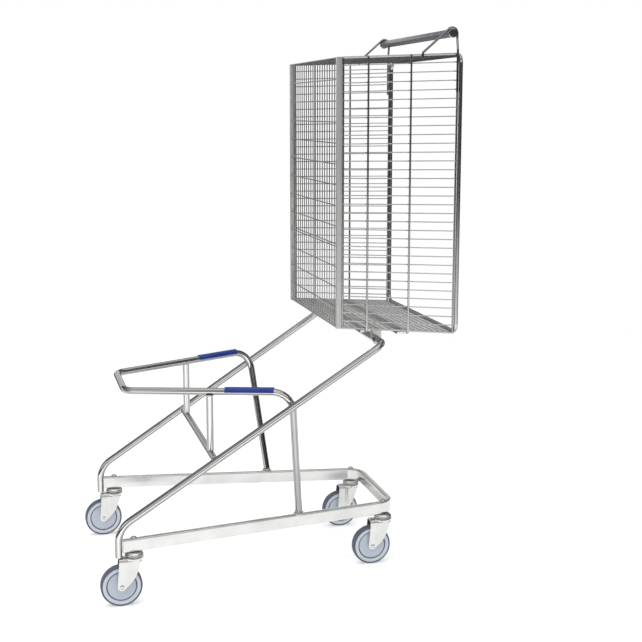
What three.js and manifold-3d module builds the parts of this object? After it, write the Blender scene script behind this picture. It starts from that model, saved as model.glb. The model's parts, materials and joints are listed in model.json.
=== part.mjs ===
// Nestable cage trolley: a wheeled tube frame with a tall wire cage over its rear half,
// a low carrier loop over its front half and a push grip above the cage roof.
// Millimetres, +Z up. The trolley is pushed towards -Y; its user stands at +Y.
// The origin is the centre of the footprint, on the floor.
import * as THREE from 'three';
import { mergeVertices } from 'three/addons/utils/BufferGeometryUtils.js';
import Module from 'manifold-3d';

const wasm = await Module();
wasm.setup();

// ---- driving dimensions ----------------------------------------------------------
// Lengthwise positions (names ending in Y) are measured from the front axle line.
const GAP = 0.3;                 // between pieces that touch
const RUN_GAP = 0.1;             // round a shaft that a moving piece turns on
const WHEEL_RADIUS = 62.5;
const WHEELBASE = 820;
const FRONT_STEM_X = 312;        // caster stems, half the distance between left and right
const REAR_STEM_X = 184;
const STEM_TRAIL = 40;           // stem to wheel axle

const RAIL_BOTTOM_Z = 165;
const RAIL_HEIGHT = 40;
const RAIL_WIDTH = 20;
const RAIL_WALL = 2;
const RAIL_REAR_X = 186;         // where each rail would be, level with the rear stems, unbent
const RAIL_REAR_Y = 891;         // centreline of the rear bar of the base
const RAIL_BEND = 55;
const RAIL_FRONT_GAP = 1.2;      // to the upright, which starts to lean just below the rail's top

const TUBE_RADIUS = 11;
const UPRIGHT_Y = -6;
const UPRIGHT_FOOT_Z = 152;
const KNEE_Z = 238;              // where the upright turns into the long diagonal
const KNEE_BEND = 80;
const TOP_BAR_Y = 806;           // crossbar that carries the cage
const TOP_BAR_Z = 759.5;
const TOP_BAR_X = 343;
const TOP_BEND = 30;

const CROSSBAR_Y = 288;          // bar between the two diagonals
const POST_X = 235;
const LOOP_FRONT = { x: 127.5, y: 43, z: 612 };
const LOOP_REAR = { x: 321.5, y: 524.5, z: 622 };
const LOOP_FOOT_Y = 566;
const LOOP_FRONT_BEND = 45;
const LOOP_REAR_BEND = 62;
const FOOT_HEIGHT = 9;
const PAD_START_Y = 334;
const PAD_END_Y = 474;

const CAGE_FRONT = { x: 295.5, y: 670.5, bottom: 804, top: 1610 };
const CAGE_REAR = { x: 325, y: 1045, bottom: 781, top: 1619 };   // centreline of the rear rod
const REAR_ROD_RADIUS = 6;
const REAR_ROD_BEND = 25;
const POST_SIDE = 16;
const POST_WALL = 1.5;
const PANEL_DEPTH = 6;           // edge bars of every wire panel
const WIRE = 4.5;
const FRONT_COLUMNS = 8;
const FRONT_ROWS = 9;
const SIDE_ROWS = 11;
const DECK_COLUMNS = 7;
const DECK_ROWS = 4;
const HOOP_SHARES = [0.247, 0.5915]; // where the hoops cross the cage, from front to rear
const HOOP_RADIUS = 3;

const GRIP = { y: 1017, z: 1681.5, radius: 12, halfLength: 324.6 };
const CORE_RADIUS = 8;
const CAP_RADIUS = 14.4;
const CAP_LENGTH = 5;
const BRACKET_ROD = 3.5;
const BRACKET_LOOP = 16;         // radius of the turn round the grip
const BRACKET_X = 321;           // plane of that turn
const BRACKET_FOOT = { x: 319.8, y: 926, z: 1612 };
const BRACKET_LEG = { x: 327.9, z: 1510, jogTop: 1666, jogLow: 1634 };

const MODEL_MIDDLE_Y = (CAGE_REAR.y + REAR_ROD_RADIUS - WHEEL_RADIUS) / 2;

// ---- finishes --------------------------------------------------------------------
const finish = (color, roughness, metalness) => (
  new THREE.MeshStandardMaterial({ color, roughness, metalness })
);
const chrome = finish(0xc9ccce, 0.18, 1);
const zinc = finish(0xd4d5d3, 0.35, 0.9);
const wirePlate = finish(0xb4b6b8, 0.28, 1);
const padBlue = finish(0x2f47a0, 0.5, 0);
const gripGrey = finish(0x85888c, 0.5, 0);
const capPlate = finish(0xb9bbbd, 0.25, 1);
const tyreGrey = finish(0x5b606e, 0.8, 0);
const rimBlue = finish(0xbcc4d4, 0.45, 0);

// ---- scene helpers ---------------------------------------------------------------
const trolley = new THREE.Group();
trolley.position.y = -MODEL_MIDDLE_Y;
const SIDES = [['left', -1], ['right', 1]];

function add(name, geometry, material, parent = trolley) {
  const mesh = new THREE.Mesh(geometry, material);
  mesh.name = name;
  parent.add(mesh);
  return mesh;
}

const vec = (x, y, z) => new THREE.Vector3(x, y, z);
const mix = (a, b, share) => a + (b - a) * share;

// ---- solid helpers ---------------------------------------------------------------
function toManifold(geometry) {
  const plain = geometry.clone();
  plain.deleteAttribute('normal');
  plain.deleteAttribute('uv');
  const merged = mergeVertices(plain, 1e-4);
  return new wasm.Manifold(new wasm.Mesh({
    numProp: 3,
    vertProperties: new Float32Array(merged.attributes.position.array),
    triVerts: new Uint32Array(merged.index.array),
  }));
}

function toGeometry(solid) {
  const mesh = solid.getMesh();
  const geometry = new THREE.BufferGeometry();
  geometry.setAttribute('position', new THREE.BufferAttribute(new Float32Array(mesh.vertProperties), 3));
  geometry.setIndex(new THREE.BufferAttribute(new Uint32Array(mesh.triVerts), 1));
  geometry.computeVertexNormals();
  return geometry;
}

function subtractAll(geometry, tools) {
  let solid = toManifold(geometry);
  for (const tool of tools) solid = solid.subtract(toManifold(tool));
  return toGeometry(solid);
}

function joinAll(geometries) {
  const [first, ...rest] = geometries.map(toManifold);
  return toGeometry(rest.reduce((whole, piece) => whole.add(piece), first));
}

// A straight round bar between two points.
function bar(start, end, radius, segments = 12) {
  const geometry = new THREE.CylinderGeometry(radius, radius, start.distanceTo(end), segments);
  const turn = new THREE.Quaternion().setFromUnitVectors(vec(0, 1, 0), end.clone().sub(start).normalize());
  geometry.applyQuaternion(turn);
  const middle = start.clone().add(end).multiplyScalar(0.5);
  return geometry.translate(middle.x, middle.y, middle.z);
}

// A solid of revolution about a line through `centre` along X or Z, from [radius, height] pairs.
function turned(profile, segments, axis, centre) {
  const geometry = new THREE.LatheGeometry(profile.map(([r, h]) => new THREE.Vector2(r, h)), segments);
  if (axis === 'z') geometry.rotateX(Math.PI / 2);
  else geometry.rotateZ(-Math.PI / 2);
  return geometry.translate(centre.x, centre.y, centre.z);
}

// A closed ring profile for `turned`, from inner and outer radius and two heights.
const ringProfile = (inner, outer, low, high) => [
  [inner, low], [outer, low], [outer, high], [inner, high], [inner, low],
];

// A path of straight runs joined by round bends, sampled only where it turns.
class BentPath extends THREE.Curve {
  constructor(corners, bends, closed = false, bendSteps = 5) {
    super();
    this.points = [];
    this.tangents = [];
    const count = corners.length;
    corners.forEach((corner, i) => {
      const atEnd = !closed && (i === 0 || i === count - 1);
      if (atEnd) {
        const next = i === 0 ? corners[1] : corner;
        const last = i === 0 ? corner : corners[count - 2];
        this.push(corner, next.clone().sub(last).normalize());
        return;
      }
      const before = corner.clone().sub(corners[(i + count - 1) % count]).normalize();
      const after = corners[(i + 1) % count].clone().sub(corner).normalize();
      const turn = before.angleTo(after);
      const reach = bends[i] * Math.tan(turn / 2);
      const inward = after.clone().sub(before).normalize();
      const centre = corner.clone().addScaledVector(inward, bends[i] / Math.cos(turn / 2));
      const startArm = corner.clone().addScaledVector(before, -reach).sub(centre);
      for (let step = 0; step <= bendSteps; step++) {
        const angle = turn * step / bendSteps;
        const arm = startArm.clone().multiplyScalar(Math.cos(angle));
        arm.addScaledVector(before, bends[i] * Math.sin(angle));
        const tangent = before.clone().multiplyScalar(Math.cos(angle));
        tangent.addScaledVector(startArm, -Math.sin(angle) / bends[i]);
        this.push(centre.clone().add(arm), tangent.normalize());
      }
    });
    if (closed) this.push(this.points[0].clone(), this.tangents[0].clone());
  }

  push(point, tangent) {
    this.points.push(point);
    this.tangents.push(tangent);
  }

  get steps() {
    return this.points.length - 1;
  }

  getPoint(t) {
    return this.points[Math.round(t * this.steps)].clone();
  }

  getPointAt(u) {
    return this.getPoint(u);
  }

  getSpacedPoints() {
    return this.points.map((point) => point.clone());
  }

  getTangentAt(u) {
    return this.tangents[Math.round(u * this.steps)].clone();
  }
}

function circleShape(radius, segments) {
  const shape = new THREE.Shape();
  for (let i = 0; i < segments; i++) {
    const angle = 2 * Math.PI * (i + 0.5) / segments;
    if (i === 0) shape.moveTo(radius * Math.cos(angle), radius * Math.sin(angle));
    else shape.lineTo(radius * Math.cos(angle), radius * Math.sin(angle));
  }
  shape.closePath();
  return shape;
}

function rectangle(width, height, Type = THREE.Shape) {
  const shape = new Type();
  shape.moveTo(-width / 2, -height / 2);
  shape.lineTo(width / 2, -height / 2);
  shape.lineTo(width / 2, height / 2);
  shape.lineTo(-width / 2, height / 2);
  shape.closePath();
  return shape;
}

const sweep = (shape, path) => new THREE.ExtrudeGeometry(shape, { extrudePath: path, steps: path.steps });
const bentTube = (corners, bends, radius, segments = 12) => sweep(
  circleShape(radius, segments),
  new BentPath(corners, bends),
);

// A round rod bent into a closed frame that lies in one plane facing along Y.
function closedRod(corners, bends, radius, segments) {
  const path = new BentPath(corners, bends, true);
  const vertices = [];
  const indices = [];
  const outOfPlane = vec(0, 1, 0);
  for (let ring = 0; ring < path.steps; ring++) {
    const inPlane = path.tangents[ring].clone().cross(outOfPlane);
    const nextRing = (ring + 1) % path.steps;
    for (let i = 0; i < segments; i++) {
      const angle = 2 * Math.PI * i / segments;
      const point = path.points[ring].clone().addScaledVector(outOfPlane, radius * Math.cos(angle));
      vertices.push(...point.addScaledVector(inPlane, radius * Math.sin(angle)).toArray());
      const a = ring * segments + i;
      const b = ring * segments + (i + 1) % segments;
      const c = nextRing * segments + (i + 1) % segments;
      const d = nextRing * segments + i;
      indices.push(a, b, c, a, c, d);
    }
  }
  const geometry = new THREE.BufferGeometry();
  geometry.setAttribute('position', new THREE.Float32BufferAttribute(vertices, 3));
  geometry.setIndex(indices);
  geometry.computeVertexNormals();
  return geometry;
}

// A flat grille: a plate with rectangular openings between its bars. `place(u, v)` gives the
// in-plane position of a point at share u along and share v up.
function grille(place, columns, rows, edge, depth) {
  const point = (u, v) => new THREE.Vector2(...place(u, v));
  const width = point(0, 0.5).distanceTo(point(1, 0.5));
  const height = point(0.5, 0).distanceTo(point(0.5, 1));
  const uLines = barEdges(columns, edge / width, WIRE / 2 / width);
  const vLines = barEdges(rows, edge / height, WIRE / 2 / height);
  const lastU = uLines.length - 1;
  const lastV = vLines.length - 1;
  const vertices = [];
  for (const z of [-depth / 2, depth / 2]) {
    for (const v of vLines) for (const u of uLines) vertices.push(...point(u, v).toArray(), z);
  }
  const back = (i, j) => j * (lastU + 1) + i;
  const face = (i, j) => back(i, j) + (lastU + 1) * (lastV + 1);
  const isSolid = (i, j) => i >= 0 && j >= 0 && i < lastU && j < lastV && (i % 2 === 0 || j % 2 === 0);
  const indices = [];
  const quad = (a, b, c, d) => indices.push(a, b, c, a, c, d);
  for (let i = 0; i < lastU; i++) {
    for (let j = 0; j < lastV; j++) {
      if (!isSolid(i, j)) continue;
      quad(face(i, j), face(i + 1, j), face(i + 1, j + 1), face(i, j + 1));
      quad(back(i, j), back(i, j + 1), back(i + 1, j + 1), back(i + 1, j));
      if (!isSolid(i - 1, j)) quad(back(i, j), face(i, j), face(i, j + 1), back(i, j + 1));
      if (!isSolid(i + 1, j)) quad(back(i + 1, j), back(i + 1, j + 1), face(i + 1, j + 1), face(i + 1, j));
      if (!isSolid(i, j - 1)) quad(back(i, j), back(i + 1, j), face(i + 1, j), face(i, j));
      if (!isSolid(i, j + 1)) quad(back(i, j + 1), face(i, j + 1), face(i + 1, j + 1), back(i + 1, j + 1));
    }
  }
  const geometry = new THREE.BufferGeometry();
  geometry.setAttribute('position', new THREE.Float32BufferAttribute(vertices, 3));
  geometry.setIndex(indices);
  geometry.computeVertexNormals();
  return geometry;
}

// The two edges of every bar across a span cut into equal cells, as shares of the span.
function barEdges(cells, edge, halfBar) {
  const edges = [0, edge];
  for (let i = 1; i < cells; i++) edges.push(i / cells - halfBar, i / cells + halfBar);
  return [...edges, 1 - edge, 1];
}

// ---- base ------------------------------------------------------------------------
const railTaper = (FRONT_STEM_X - RAIL_REAR_X) / WHEELBASE;
const railX = (y) => FRONT_STEM_X - railTaper * (y - STEM_TRAIL);
const railMiddleZ = RAIL_BOTTOM_Z + RAIL_HEIGHT / 2;
const railTopZ = RAIL_BOTTOM_Z + RAIL_HEIGHT;
const STEM_HOLE = 5.4;

function baseFrame() {
  const frontY = UPRIGHT_Y + TUBE_RADIUS + RAIL_FRONT_GAP;
  const corners = [
    vec(-railX(frontY), frontY, railMiddleZ), vec(-railX(RAIL_REAR_Y), RAIL_REAR_Y, railMiddleZ),
    vec(railX(RAIL_REAR_Y), RAIL_REAR_Y, railMiddleZ), vec(railX(frontY), frontY, railMiddleZ),
  ];
  const section = rectangle(RAIL_HEIGHT, RAIL_WIDTH);
  section.holes.push(rectangle(RAIL_HEIGHT - 2 * RAIL_WALL, RAIL_WIDTH - 2 * RAIL_WALL, THREE.Path));
  const tube = sweep(section, new BentPath(corners, [0, RAIL_BEND, RAIL_BEND, 0]));
  const drills = casterPlaces().map(({ x, y }) => bar(
    vec(x, y, RAIL_BOTTOM_Z - RAIL_WIDTH),
    vec(x, y, railTopZ + RAIL_WIDTH),
    STEM_HOLE,
    16,
  ));
  return subtractAll(tube, drills);
}

function casterPlaces() {
  const places = [];
  for (const [end, y, x] of [['front', 0, FRONT_STEM_X], ['rear', WHEELBASE, REAR_STEM_X]]) {
    for (const [side, sign] of SIDES) places.push({ name: `${end}_${side}`, x: sign * x, y: y + STEM_TRAIL });
  }
  return places;
}

add('base_frame', baseFrame(), zinc);

// ---- main tubes ------------------------------------------------------------------
const uprightX = railX(UPRIGHT_Y);
const diagonalAt = (y) => {
  const share = (y - UPRIGHT_Y) / (TOP_BAR_Y - UPRIGHT_Y);
  return { x: mix(uprightX, TOP_BAR_X, share), z: mix(KNEE_Z, TOP_BAR_Z, share) };
};

for (const [side, sign] of SIDES) {
  add(`main_tube_${side}`, bentTube([
    vec(sign * uprightX, UPRIGHT_Y, UPRIGHT_FOOT_Z), vec(sign * uprightX, UPRIGHT_Y, KNEE_Z),
    vec(sign * TOP_BAR_X, TOP_BAR_Y, TOP_BAR_Z), vec(sign * GAP / 2, TOP_BAR_Y, TOP_BAR_Z),
  ], [0, KNEE_BEND, TOP_BEND, 0], TUBE_RADIUS), chrome);
}

const crossbarEnd = diagonalAt(CROSSBAR_Y);
const crossbarHalf = crossbarEnd.x - TUBE_RADIUS - GAP;
add('lower_crossbar', bar(
  vec(-crossbarHalf, CROSSBAR_Y, crossbarEnd.z),
  vec(crossbarHalf, CROSSBAR_Y, crossbarEnd.z),
  TUBE_RADIUS,
), chrome);

// ---- carrier loop ----------------------------------------------------------------
const loopShare = (y) => (y - LOOP_FRONT.y) / (LOOP_REAR.y - LOOP_FRONT.y);
const loopPoint = (sign, y) => vec(
  sign * mix(LOOP_FRONT.x, LOOP_REAR.x, loopShare(y)),
  y,
  mix(LOOP_FRONT.z, LOOP_REAR.z, loopShare(y)),
);
const footTopZ = railTopZ + GAP + FOOT_HEIGHT;
const LEG_LIFT = 3.4;            // lets the leaning leg's cut end clear the flat top of its foot
const loopFoot = (sign) => vec(sign * railX(LOOP_FOOT_Y), LOOP_FOOT_Y, footTopZ + LEG_LIFT);

add('carrier_loop', bentTube(
  [
    loopFoot(-1), loopPoint(-1, LOOP_REAR.y), loopPoint(-1, LOOP_FRONT.y),
    loopPoint(1, LOOP_FRONT.y), loopPoint(1, LOOP_REAR.y), loopFoot(1),
  ],
  [0, LOOP_REAR_BEND, LOOP_FRONT_BEND, LOOP_FRONT_BEND, LOOP_REAR_BEND, 0],
  TUBE_RADIUS,
), chrome);

const FOOT_PROFILE = [[0, 0], [17, 0], [17, 3], [12.5, FOOT_HEIGHT], [0, FOOT_HEIGHT]];
const PAD_THICKNESS = 3;
const PAD_WRAP = Math.PI * 0.52; // each way from the top of the tube

function padShape() {
  const inner = TUBE_RADIUS + 2 * GAP;
  const outer = inner + PAD_THICKNESS;
  const steps = 8;
  const arc = (radius, from, to) => Array.from({ length: steps + 1 }, (_, i) => {
    const angle = mix(from, to, i / steps);
    return new THREE.Vector2(radius * Math.sin(angle), radius * Math.cos(angle));
  });
  return new THREE.Shape([...arc(outer, -PAD_WRAP, PAD_WRAP), ...arc(inner, PAD_WRAP, -PAD_WRAP)]);
}

for (const [side, sign] of SIDES) {
  const foot = loopFoot(sign);
  add(`loop_foot_${side}`, turned(FOOT_PROFILE, 16, 'z', vec(foot.x, foot.y, railTopZ + GAP)), chrome);

  const seat = loopPoint(sign, CROSSBAR_Y);
  add(`loop_post_${side}`, bar(
    vec(sign * POST_X, CROSSBAR_Y, crossbarEnd.z + TUBE_RADIUS + GAP),
    vec(sign * POST_X, CROSSBAR_Y, seat.z - TUBE_RADIUS - 2 * GAP),
    TUBE_RADIUS,
  ), chrome);

  const start = loopPoint(sign, PAD_START_Y);
  const end = loopPoint(sign, PAD_END_Y);
  const pad = new THREE.ExtrudeGeometry(padShape(), {
    depth: start.distanceTo(end), bevelEnabled: false, steps: 1,
  });
  const along = end.clone().sub(start).normalize();
  const across = new THREE.Vector3().crossVectors(vec(0, 0, 1), along).normalize();
  const upward = new THREE.Vector3().crossVectors(along, across);
  pad.applyMatrix4(new THREE.Matrix4().makeBasis(across, upward, along));
  add(`loop_pad_${side}`, pad.translate(start.x, start.y, start.z), padBlue);
}

// ---- cage ------------------------------------------------------------------------
const frontPanelY = CAGE_FRONT.y + PANEL_DEPTH / 2;
const sideFrontY = CAGE_FRONT.y + POST_SIDE + GAP;
const deckFrontY = CAGE_FRONT.y + PANEL_DEPTH + GAP;
const panelRearY = CAGE_REAR.y - REAR_ROD_RADIUS - GAP;
const sideFrontX = CAGE_FRONT.x - PANEL_DEPTH / 2;
const sideRearX = CAGE_REAR.x - PANEL_DEPTH / 2;
const rearBottomZ = CAGE_REAR.bottom - REAR_ROD_RADIUS;
const rearTopZ = CAGE_REAR.top + REAR_ROD_RADIUS;
const cageShare = (y) => (y - CAGE_FRONT.y) / (CAGE_REAR.y - CAGE_FRONT.y);
const cageSideX = (y) => mix(sideFrontX, sideRearX, cageShare(y));
const cageBottomZ = (y) => mix(CAGE_FRONT.bottom, rearBottomZ, cageShare(y));
const cageTopZ = (y) => mix(CAGE_FRONT.top, rearTopZ, cageShare(y));

for (const [side, sign] of SIDES) {
  const post = rectangle(POST_SIDE, POST_SIDE);
  post.holes.push(rectangle(POST_SIDE - 2 * POST_WALL, POST_SIDE - 2 * POST_WALL, THREE.Path));
  const height = CAGE_FRONT.top - CAGE_FRONT.bottom;
  const geometry = new THREE.ExtrudeGeometry(post, { depth: height, bevelEnabled: false, steps: 1 });
  geometry.translate(
    sign * (CAGE_FRONT.x - POST_SIDE / 2),
    CAGE_FRONT.y + POST_SIDE / 2,
    CAGE_FRONT.bottom,
  );
  add(`cage_post_${side}`, geometry, wirePlate);

  const length = Math.hypot(panelRearY - sideFrontY, cageSideX(panelRearY) - cageSideX(sideFrontY));
  const panel = grille((u, v) => {
    const y = mix(sideFrontY, panelRearY, u);
    return [u * length, mix(cageBottomZ(y), cageTopZ(y), v)];
  }, 3, SIDE_ROWS, PANEL_DEPTH, PANEL_DEPTH);
  const mesh = add(`cage_side_${side}`, panel, wirePlate);
  mesh.rotation.order = 'ZXY';
  mesh.rotation.x = Math.PI / 2;
  mesh.rotation.z = Math.PI / 2 - sign * Math.atan2(sideRearX - sideFrontX, CAGE_REAR.y - CAGE_FRONT.y);
  mesh.position.set(sign * cageSideX(sideFrontY), sideFrontY, 0);
}

const frontHalf = CAGE_FRONT.x - POST_SIDE - GAP;
const front = add('cage_front', grille(
  (u, v) => [mix(-frontHalf, frontHalf, u), mix(CAGE_FRONT.bottom, CAGE_FRONT.top, v)],
  FRONT_COLUMNS,
  FRONT_ROWS,
  PANEL_DEPTH,
  PANEL_DEPTH,
), wirePlate);
front.rotation.x = Math.PI / 2;
front.position.y = frontPanelY;

// The roof and the floor lie between the side panels, slope with their edges and are notched
// round the two posts.
function deck(name, edgeZ) {
  const slope = Math.atan2(edgeZ(panelRearY) - edgeZ(deckFrontY), panelRearY - deckFrontY);
  const length = (panelRearY - deckFrontY) / Math.cos(slope) - 2 * GAP;
  const half = (y) => cageSideX(y) - PANEL_DEPTH / 2 - 2 * GAP;
  const plate = grille((u, v) => {
    const y = mix(deckFrontY, panelRearY, v);
    return [mix(-half(y), half(y), u), v * length];
  }, DECK_COLUMNS, DECK_ROWS, PANEL_DEPTH, PANEL_DEPTH);
  plate.rotateX(slope).translate(0, deckFrontY + GAP, edgeZ(deckFrontY));
  const notches = SIDES.map(([, sign]) => {
    const notch = new THREE.BoxGeometry(2 * (POST_SIDE + GAP), 2 * (POST_SIDE + GAP), 10 * PANEL_DEPTH);
    return notch.translate(sign * CAGE_FRONT.x, CAGE_FRONT.y, edgeZ(CAGE_FRONT.y));
  });
  add(name, subtractAll(plate, notches), wirePlate);
}

deck('cage_roof', (y) => cageTopZ(y) - PANEL_DEPTH / 2);
deck('cage_floor', (y) => cageBottomZ(y) + PANEL_DEPTH / 2);

add('cage_rear_frame', closedRod([
  vec(-CAGE_REAR.x, CAGE_REAR.y, CAGE_REAR.top), vec(-CAGE_REAR.x, CAGE_REAR.y, CAGE_REAR.bottom),
  vec(CAGE_REAR.x, CAGE_REAR.y, CAGE_REAR.bottom), vec(CAGE_REAR.x, CAGE_REAR.y, CAGE_REAR.top),
], Array(4).fill(REAR_ROD_BEND), REAR_ROD_RADIUS, 8), wirePlate);

// Two U-shaped hoops run down one side, under the floor and up the other side.
const HOOP_BEND = 4;               // tight round the lower edge of the side panel
HOOP_SHARES.forEach((share, index) => {
  const y = mix(CAGE_FRONT.y, CAGE_REAR.y, share);
  const x = cageSideX(y) + PANEL_DEPTH / 2 + HOOP_RADIUS + 2 * GAP;
  const low = cageBottomZ(y) - HOOP_RADIUS - 2 * GAP;
  const high = cageTopZ(y) - PANEL_DEPTH / 2;
  add(`cage_hoop_${index === 0 ? 'front' : 'rear'}`, bentTube(
    [vec(-x, y, high), vec(-x, y, low), vec(x, y, low), vec(x, y, high)],
    [0, HOOP_BEND, HOOP_BEND, 0],
    HOOP_RADIUS,
    8,
  ), wirePlate);
});

// Saddles stand on the top crossbar and carry the floor, which two round-ended bars stiffen.
const SADDLE_X = 262;
const SADDLE_LENGTH = 24;
const SADDLE_WALL = 3;
const SUPPORT_DEPTH = 8;
const SUPPORT_ROUND = 7;
const SUPPORTS = [['front', 745, 757], ['rear', 860, 888]];

function saddle(x) {
  const outer = TUBE_RADIUS + GAP + SADDLE_WALL;
  const top = cageBottomZ(TOP_BAR_Y + outer) - TOP_BAR_Z - 2 * GAP;
  const section = new THREE.Shape();
  section.moveTo(-outer, top);
  section.lineTo(-outer, 0);
  section.absarc(0, 0, outer, Math.PI, 2 * Math.PI, false);
  section.lineTo(outer, top);
  section.closePath();
  const bore = new THREE.Path();
  bore.absarc(0, 0, TUBE_RADIUS + 2 * GAP, 0, 2 * Math.PI, true);
  section.holes.push(bore);
  const geometry = new THREE.ExtrudeGeometry(section, {
    depth: SADDLE_LENGTH, bevelEnabled: false, steps: 1, curveSegments: 10,
  });
  geometry.rotateX(Math.PI / 2);
  geometry.rotateZ(Math.PI / 2);
  return geometry.translate(x - SADDLE_LENGTH / 2, TOP_BAR_Y, TOP_BAR_Z);
}

function floorSupport(startY, endY) {
  const middleY = (startY + endY) / 2;
  const half = cageSideX(startY) + PANEL_DEPTH / 2;
  const outline = new THREE.Shape();
  outline.moveTo(half, 0);
  outline.lineTo(-half, 0);
  const cornerX = half - SUPPORT_ROUND;
  const cornerY = SUPPORT_ROUND - SUPPORT_DEPTH;
  outline.absarc(-cornerX, cornerY, SUPPORT_ROUND, Math.PI, 1.5 * Math.PI, false);
  outline.absarc(cornerX, cornerY, SUPPORT_ROUND, 1.5 * Math.PI, 2 * Math.PI, false);
  outline.closePath();
  const width = endY - startY;
  const geometry = new THREE.ExtrudeGeometry(outline, {
    depth: width, bevelEnabled: false, steps: 1, curveSegments: 4,
  });
  geometry.translate(0, 0, -width / 2);
  geometry.rotateX(Math.PI / 2);
  geometry.rotateX(Math.atan2(cageBottomZ(endY) - cageBottomZ(startY), width));
  return geometry.translate(0, middleY, cageBottomZ(middleY) - 2 * GAP);
}

for (const [end, startY, endY] of SUPPORTS) {
  add(`floor_support_${end}`, floorSupport(startY, endY), zinc);
}
for (const [side, sign] of SIDES) add(`cage_saddle_${side}`, saddle(sign * SADDLE_X), zinc);

// ---- handle ----------------------------------------------------------------------
// One rod: a foot on the roof edge, up and once over the grip, then down behind the side panel.
function bracketRod(sign) {
  const at = (x, y, z) => vec(sign * x, y, z);
  const turnAt = (angle) => at(
    BRACKET_X,
    GRIP.y + BRACKET_LOOP * Math.cos(angle),
    GRIP.z + BRACKET_LOOP * Math.sin(angle),
  );
  const kneeZ = cageTopZ(BRACKET_FOOT.y) + BRACKET_ROD;
  const reachY = GRIP.y - BRACKET_FOOT.y;
  const reachZ = GRIP.z - kneeZ;
  const lean = Math.atan2(reachZ, reachY) + Math.asin(BRACKET_LOOP / Math.hypot(reachY, reachZ));
  const startAngle = lean + Math.PI / 2;
  const path = new BentPath([
    at(BRACKET_FOOT.x, BRACKET_FOOT.y, BRACKET_FOOT.z),
    at(BRACKET_FOOT.x, BRACKET_FOOT.y, kneeZ),
    turnAt(startAngle),
  ], [0, 6, 0], false, 3);
  const turnSteps = 8;
  for (let step = 1; step < turnSteps; step++) {
    const angle = startAngle * (1 - step / turnSteps);
    path.push(turnAt(angle), vec(0, Math.sin(angle), -Math.cos(angle)));
  }
  const rearY = GRIP.y + BRACKET_LOOP;
  const leg = new BentPath([
    turnAt(0),
    at(BRACKET_X, rearY, BRACKET_LEG.jogTop),
    at(BRACKET_LEG.x, rearY, BRACKET_LEG.jogLow),
    at(BRACKET_LEG.x, rearY, BRACKET_LEG.z),
  ], [0, 20, 20, 0], false, 2);
  leg.points.forEach((point, i) => path.push(point, leg.tangents[i]));
  return sweep(circleShape(BRACKET_ROD, 8), path);
}

const capEnd = GRIP.halfLength + GAP + CAP_LENGTH;
add('grip_core', bar(
  vec(-GRIP.halfLength, GRIP.y, GRIP.z),
  vec(GRIP.halfLength, GRIP.y, GRIP.z),
  CORE_RADIUS,
  16,
), chrome);
add('grip_sleeve', turned(
  ringProfile(CORE_RADIUS + GAP, GRIP.radius, -GRIP.halfLength, GRIP.halfLength),
  24,
  'x',
  vec(0, GRIP.y, GRIP.z),
), gripGrey);

for (const [side, sign] of SIDES) {
  const middle = sign * (capEnd + GRIP.halfLength + GAP) / 2;
  add(`grip_cap_${side}`, bar(
    vec(middle - CAP_LENGTH / 2, GRIP.y, GRIP.z),
    vec(middle + CAP_LENGTH / 2, GRIP.y, GRIP.z),
    CAP_RADIUS,
    24,
  ), capPlate);
  add(`grip_bracket_${side}`, bracketRod(sign), chrome);
}

// ---- casters ---------------------------------------------------------------------
// Heights are above the floor; the wheel hangs ahead of the stem, towards -Y.
const STEM_RADIUS = 5;
const STEM_LOW_Z = 149;
const NUT_HEIGHT = 6.4;
const NUT_RADIUS = 9;
const RACE_TOP_Z = RAIL_BOTTOM_Z - GAP;
const RACE_LOW_Z = 153.5;
const RACE_RADIUS = 28.5;
const CROWN_TOP_Z = 152.8;
const CROWN_RADIUS = 29.5;
const CROWN_EDGE_Z = 143;
const FORK_HALF = 21;            // outside of each leg from the wheel's middle plane
const FORK_WALL = 2.5;
const FORK_TIP = 12;
const AXLE_RADIUS = 4;
const AXLE_HEAD = 7;
const AXLE_HEAD_HEIGHT = 4;
const TYRE_HALF = 15;
const TYRE_INNER = 52;
const RIM_HALF = 14;
const RIM_EDGE = TYRE_INNER - GAP;
const FACE_EDGE = 57.5;

function forkLeg(x) {
  // Side outline: y runs from the axle towards the stem, z up from the axle.
  const top = CROWN_EDGE_Z + 3 - WHEEL_RADIUS;
  const outline = new THREE.Shape();
  outline.moveTo(-6, top);
  outline.lineTo(-FORK_TIP, 8);
  outline.lineTo(-FORK_TIP, 0);
  outline.absarc(0, 0, FORK_TIP, Math.PI, 1.78 * Math.PI, false);
  outline.quadraticCurveTo(46, 26, STEM_TRAIL + 22, top);
  outline.closePath();
  const eye = new THREE.Path();
  eye.absarc(0, 0, AXLE_RADIUS + 2 * GAP, 0, 2 * Math.PI, true);
  outline.holes.push(eye);
  const leg = new THREE.ExtrudeGeometry(outline, {
    depth: FORK_WALL, bevelEnabled: false, steps: 1, curveSegments: 4,
  });
  leg.rotateX(Math.PI / 2);
  leg.rotateZ(Math.PI / 2);
  return leg.translate(x, -STEM_TRAIL, WHEEL_RADIUS);
}

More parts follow.
